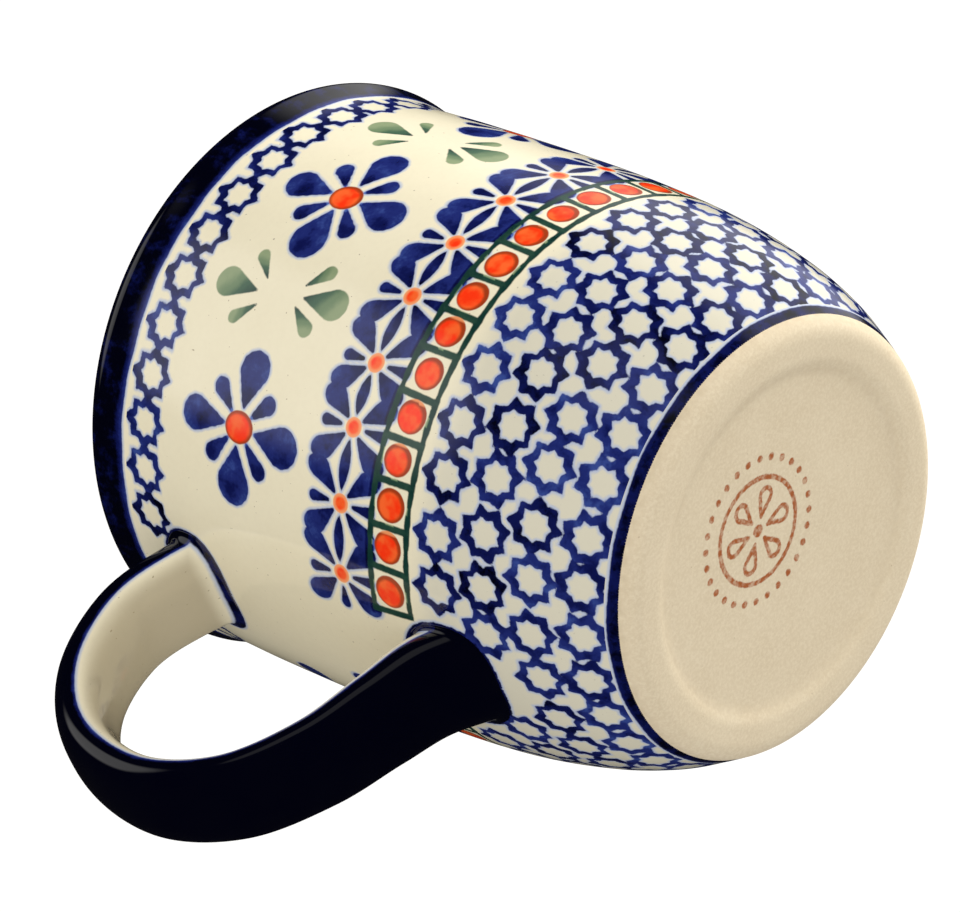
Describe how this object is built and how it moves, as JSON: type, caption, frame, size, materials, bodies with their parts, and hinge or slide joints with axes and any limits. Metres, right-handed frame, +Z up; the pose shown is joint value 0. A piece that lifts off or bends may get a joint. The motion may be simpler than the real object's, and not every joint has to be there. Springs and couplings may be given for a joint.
{
  "type": "footed mug with strap handle",
  "caption": "Round-bellied glazed stoneware mug with a foot ring, a flared lip and a broad strap handle joined high and low on the wall, for hot drinks.",
  "frame": {"origin": "on the mug's axis at the level of the surface that the foot ring rests on, under the recessed base", "axes": "+Z up along the mug's axis, -X towards the handle, +Y to the side"},
  "size_m": [0.1218, 0.0858, 0.095],
  "materials": {
    "stoneware": "matte",
    "joint_slip": "satin",
    "clear_glaze": "gloss",
    "cobalt_glaze": "gloss"
  },
  "bodies": {
    "root": {"stoneware_body": "stoneware", "strap_handle": "stoneware", "upper_joint_slip": "joint_slip", "lower_joint_slip": "joint_slip", "outside_glaze": "clear_glaze", "inside_glaze": "clear_glaze", "rim_cobalt_band": "cobalt_glaze", "foot_cobalt_line": "cobalt_glaze", "handle_cobalt_coat": "cobalt_glaze", "handle_clear_coat": "clear_glaze"}
  },
  "joints": []
}
